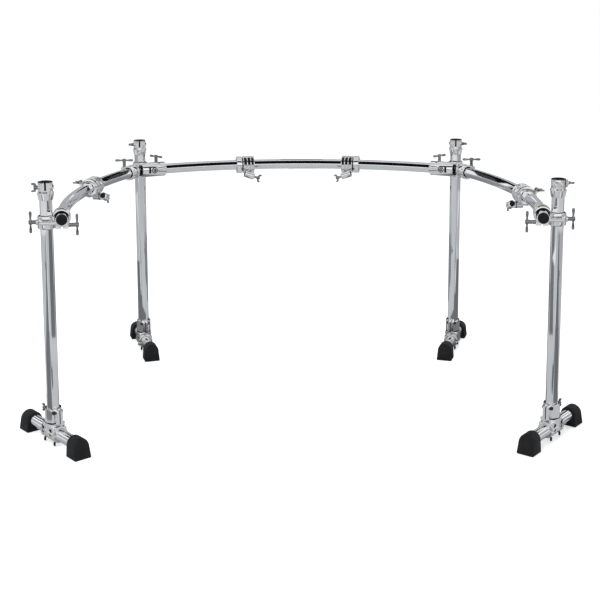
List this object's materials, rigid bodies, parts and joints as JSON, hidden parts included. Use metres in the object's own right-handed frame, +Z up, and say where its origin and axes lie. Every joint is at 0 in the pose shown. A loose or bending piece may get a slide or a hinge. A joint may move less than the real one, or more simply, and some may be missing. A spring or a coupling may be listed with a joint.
{
  "type": "drum rack frame",
  "caption": "Curved drum rack: bent hexagonal pipes on height-adjustable T-foot legs, hinged cast corner clamps, stand holders on the posts and sliding accessory clamps.",
  "frame": {"origin": "on the floor, under the middle of the rack's outline", "axes": "+X to the right along the rear bar, +Y to the rear of the rack, +Z up"},
  "size_m": [1.7638, 1.2438, 0.7999],
  "materials": {
    "chrome_pipe": "bright chrome plating",
    "chrome_casting": "chrome-plated die casting, slightly softer than the pipes",
    "chrome_handle": "bright chrome plating",
    "black_rubber": "matte moulded rubber",
    "black_plastic": "matte moulded plastic"
  },
  "bodies": {
    "rear_frame": {"rear_bar": "chrome_pipe", "left_corner_clamp": "chrome_casting", "right_corner_clamp": "chrome_casting"},
    "left_wing": {"left_bar": "chrome_pipe", "left_bar_plug": "black_plastic", "left_side_clamp": "chrome_casting", "left_front_clamp": "chrome_casting"},
    "right_wing": {"right_bar": "chrome_pipe", "right_bar_plug": "black_plastic", "right_side_clamp": "chrome_casting", "right_front_clamp": "chrome_casting"},
    "left_front_leg": {"left_front_post": "chrome_pipe", "left_front_leg_clamp": "chrome_casting", "left_front_stand_holder": "chrome_casting"},
    "left_front_foot": {"left_front_foot_tube": "chrome_pipe", "left_front_inner_foot": "black_rubber", "left_front_outer_foot": "black_rubber"},
    "left_front_holder_key": {"left_front_holder_bolt": "chrome_handle"},
    "left_rear_leg": {"left_rear_post": "chrome_pipe", "left_rear_leg_clamp": "chrome_casting", "left_rear_stand_holder": "chrome_casting"},
    "left_rear_foot": {"left_rear_foot_tube": "chrome_pipe", "left_rear_inner_foot": "black_rubber", "left_rear_outer_foot": "black_rubber"},
    "left_rear_holder_key": {"left_rear_holder_bolt": "chrome_handle"},
    "right_front_leg": {"right_front_post": "chrome_pipe", "right_front_leg_clamp": "chrome_casting", "right_front_stand_holder": "chrome_casting"},
    "right_front_foot": {"right_front_foot_tube": "chrome_pipe", "right_front_inner_foot": "black_rubber", "right_front_outer_foot": "black_rubber"},
    "right_front_holder_key": {"right_front_holder_bolt": "chrome_handle"},
    "right_rear_leg": {"right_rear_post": "chrome_pipe", "right_rear_leg_clamp": "chrome_casting", "right_rear_stand_holder": "chrome_casting"},
    "right_rear_foot": {"right_rear_foot_tube": "chrome_pipe", "right_rear_inner_foot": "black_rubber", "right_rear_outer_foot": "black_rubber"},
    "right_rear_holder_key": {"right_rear_holder_bolt": "chrome_handle"},
    "left_corner_tee": {"left_corner_clamp_bolt": "chrome_handle"},
    "left_side_tee": {"left_side_clamp_bolt": "chrome_handle"},
    "left_ring_tee": {"left_front_ring_bolt": "chrome_handle"},
    "left_band_tee": {"left_front_band_bolt": "chrome_handle"},
    "right_corner_tee": {"right_corner_clamp_bolt": "chrome_handle"},
    "right_side_tee": {"right_side_clamp_bolt": "chrome_handle"},
    "right_ring_tee": {"right_front_ring_bolt": "chrome_handle"},
    "right_band_tee": {"right_front_band_bolt": "chrome_handle"},
    "left_rear_accessory": {"left_rear_accessory_clamp": "chrome_casting"},
    "left_rear_accessory_head": {"left_rear_accessory_receiver": "chrome_casting"},
    "left_rear_accessory_key": {"left_rear_accessory_wing_bolt": "chrome_handle"},
    "right_rear_accessory": {"right_rear_accessory_clamp": "chrome_casting"},
    "right_rear_accessory_head": {"right_rear_accessory_receiver": "chrome_casting"},
    "right_rear_accessory_key": {"right_rear_accessory_wing_bolt": "chrome_handle"},
    "left_side_accessory": {"left_side_accessory_clamp": "chrome_casting"},
    "left_side_accessory_head": {"left_side_accessory_receiver": "chrome_casting"},
    "left_side_accessory_key": {"left_side_accessory_wing_bolt": "chrome_handle"},
    "right_side_accessory": {"right_side_accessory_clamp": "chrome_casting"},
    "right_side_accessory_head": {"right_side_accessory_receiver": "chrome_casting"},
    "right_side_accessory_key": {"right_side_accessory_wing_bolt": "chrome_handle"}
  },
  "joints": [
    {"name": "left_wing_hinge", "type": "hinge", "parent": "rear_frame", "child": "left_wing", "pos_m": [-0.6045, 0.39842, 0.69289], "axis": [0, 0, 1], "range_deg": [-30, 30]},
    {"name": "right_wing_hinge", "type": "hinge", "parent": "rear_frame", "child": "right_wing", "pos_m": [0.57659, 0.39842, 0.69289], "axis": [0, 0, 1], "range_deg": [-30, 30]},
    {"name": "left_front_height", "type": "slide", "parent": "left_wing", "child": "left_front_leg", "axis": [0, 0, 1], "range_m": [-0.03, 0.5]},
    {"name": "left_rear_height", "type": "slide", "parent": "rear_frame", "child": "left_rear_leg", "axis": [0, 0, 1], "range_m": [-0.025, 0.5]},
    {"name": "right_front_height", "type": "slide", "parent": "right_wing", "child": "right_front_leg", "axis": [0, 0, 1], "range_m": [-0.03, 0.5]},
    {"name": "right_rear_height", "type": "slide", "parent": "rear_frame", "child": "right_rear_leg", "axis": [0, 0, 1], "range_m": [-0.025, 0.5]},
    {"name": "left_front_foot_slide", "type": "slide", "parent": "left_front_leg", "child": "left_front_foot", "axis": [0.6517, -0.7585, 0], "range_m": [-0.04, 0.04]},
    {"name": "left_rear_foot_slide", "type": "slide", "parent": "left_rear_leg", "child": "left_rear_foot", "axis": [0.304, -0.9527, 0], "range_m": [-0.04, 0.04]},
    {"name": "right_front_foot_slide", "type": "slide", "parent": "right_front_leg", "child": "right_front_foot", "axis": [-0.6129, -0.7902, 0], "range_m": [-0.04, 0.04]},
    {"name": "right_rear_foot_slide", "type": "slide", "parent": "right_rear_leg", "child": "right_rear_foot", "axis": [-0.304, -0.9527, 0], "range_m": [-0.04, 0.04]},
    {"name": "left_front_holder_key_turn", "type": "hinge", "parent": "left_front_leg", "child": "left_front_holder_key", "pos_m": [-0.72613, -0.48844, 0.78589], "axis": [-0.9816, -0.1908, 0], "continuous": true},
    {"name": "left_rear_holder_key_turn", "type": "hinge", "parent": "left_rear_leg", "child": "left_rear_holder_key", "pos_m": [-0.57866, 0.43508, 0.78589], "axis": [-0.9903, -0.1392, 0], "continuous": true},
    {"name": "right_front_holder_key_turn", "type": "hinge", "parent": "right_front_leg", "child": "right_front_holder_key", "pos_m": [0.75426, -0.47434, 0.78589], "axis": [0.6947, 0.7193, 0], "continuous": true},
    {"name": "right_rear_holder_key_turn", "type": "hinge", "parent": "right_rear_leg", "child": "right_rear_holder_key", "pos_m": [0.55074, 0.43508, 0.78589], "axis": [0.9903, -0.1392, 0], "continuous": true},
    {"name": "left_corner_tee_turn", "type": "hinge", "parent": "rear_frame", "child": "left_corner_tee", "pos_m": [-0.54299, 0.45921, 0.67419], "axis": [0, 0, 1], "continuous": true},
    {"name": "left_side_tee_turn", "type": "hinge", "parent": "left_wing", "child": "left_side_tee", "pos_m": [-0.64686, 0.3612, 0.67419], "axis": [0, 0, 1], "continuous": true},
    {"name": "left_ring_tee_turn", "type": "hinge", "parent": "left_wing", "child": "left_ring_tee", "pos_m": [-0.72532, -0.47009, 0.66781], "axis": [0.9827, 0.1851, 0], "continuous": true},
    {"name": "left_band_tee_turn", "type": "hinge", "parent": "left_wing", "child": "left_band_tee", "pos_m": [-0.76865, -0.47826, 0.67989], "axis": [-0.9827, -0.1851, 0], "continuous": true},
    {"name": "right_corner_tee_turn", "type": "hinge", "parent": "rear_frame", "child": "right_corner_tee", "pos_m": [0.51508, 0.45921, 0.67419], "axis": [0, 0, 1], "continuous": true},
    {"name": "right_side_tee_turn", "type": "hinge", "parent": "right_wing", "child": "right_side_tee", "pos_m": [0.62022, 0.3627, 0.67419], "axis": [0, 0, 1], "continuous": true},
    {"name": "right_ring_tee_turn", "type": "hinge", "parent": "right_wing", "child": "right_ring_tee", "pos_m": [0.73083, -0.44329, 0.66781], "axis": [-0.9908, 0.1357, 0], "continuous": true},
    {"name": "right_band_tee_turn", "type": "hinge", "parent": "right_wing", "child": "right_band_tee", "pos_m": [0.77452, -0.44928, 0.67989], "axis": [0.9908, -0.1357, 0], "continuous": true},
    {"name": "left_rear_accessory_slide", "type": "hinge", "parent": "rear_frame", "child": "left_rear_accessory", "pos_m": [-0.01396, -0.62353, 0.69289], "axis": [0, 0, 1], "range_deg": [-6, 12.5]},
    {"name": "right_rear_accessory_slide", "type": "hinge", "parent": "rear_frame", "child": "right_rear_accessory", "pos_m": [-0.01396, -0.62353, 0.69289], "axis": [0, 0, 1], "range_deg": [-12.5, 6]},
    {"name": "left_side_accessory_slide", "type": "hinge", "parent": "left_wing", "child": "left_side_accessory", "pos_m": [0.71801, -0.19826, 0.69289], "axis": [0, 0, 1], "range_deg": [-8.5, 17]},
    {"name": "right_side_accessory_slide", "type": "hinge", "parent": "right_wing", "child": "right_side_accessory", "pos_m": [-0.72429, -0.24405, 0.69289], "axis": [0, 0, 1], "range_deg": [-10, 15.5]},
    {"name": "left_rear_accessory_swivel", "type": "hinge", "parent": "left_rear_accessory", "child": "left_rear_accessory_head", "pos_m": [-0.19899, 0.51732, 0.65817], "axis": [0.1703, -0.9854, 0], "range_deg": [-100, 50]},
    {"name": "right_rear_accessory_swivel", "type": "hinge", "parent": "right_rear_accessory", "child": "right_rear_accessory_head", "pos_m": [0.17108, 0.51732, 0.65817], "axis": [-0.1703, -0.9854, 0], "range_deg": [-50, 100]},
    {"name": "left_side_accessory_swivel", "type": "hinge", "parent": "left_side_accessory", "child": "left_side_accessory_head", "pos_m": [-0.68466, 0.05726, 0.65817], "axis": [0.9853, -0.1709, 0], "range_deg": [-100, 50]},
    {"name": "right_side_accessory_swivel", "type": "hinge", "parent": "right_side_accessory", "child": "right_side_accessory_head", "pos_m": [0.69511, -0.10965, 0.65817], "axis": [-0.9963, -0.0859, 0], "range_deg": [-50, 100]},
    {"name": "left_rear_accessory_key_turn", "type": "hinge", "parent": "left_rear_accessory_head", "child": "left_rear_accessory_key", "pos_m": [-0.18478, 0.50354, 0.65393], "axis": [0.926, 0.1601, -0.342], "continuous": true},
    {"name": "right_rear_accessory_key_turn", "type": "hinge", "parent": "right_rear_accessory_head", "child": "right_rear_accessory_key", "pos_m": [0.15687, 0.50354, 0.65393], "axis": [-0.926, 0.1601, -0.342], "continuous": true},
    {"name": "left_side_accessory_key_turn", "type": "hinge", "parent": "left_side_accessory_head", "child": "left_side_accessory_key", "pos_m": [-0.6669, 0.066, 0.65393], "axis": [0.1606, 0.9259, -0.342], "continuous": true},
    {"name": "right_side_accessory_key_turn", "type": "hinge", "parent": "right_side_accessory_head", "child": "right_side_accessory_key", "pos_m": [0.67817, -0.09942, 0.65393], "axis": [-0.0807, 0.9362, -0.342], "continuous": true}
  ]
}
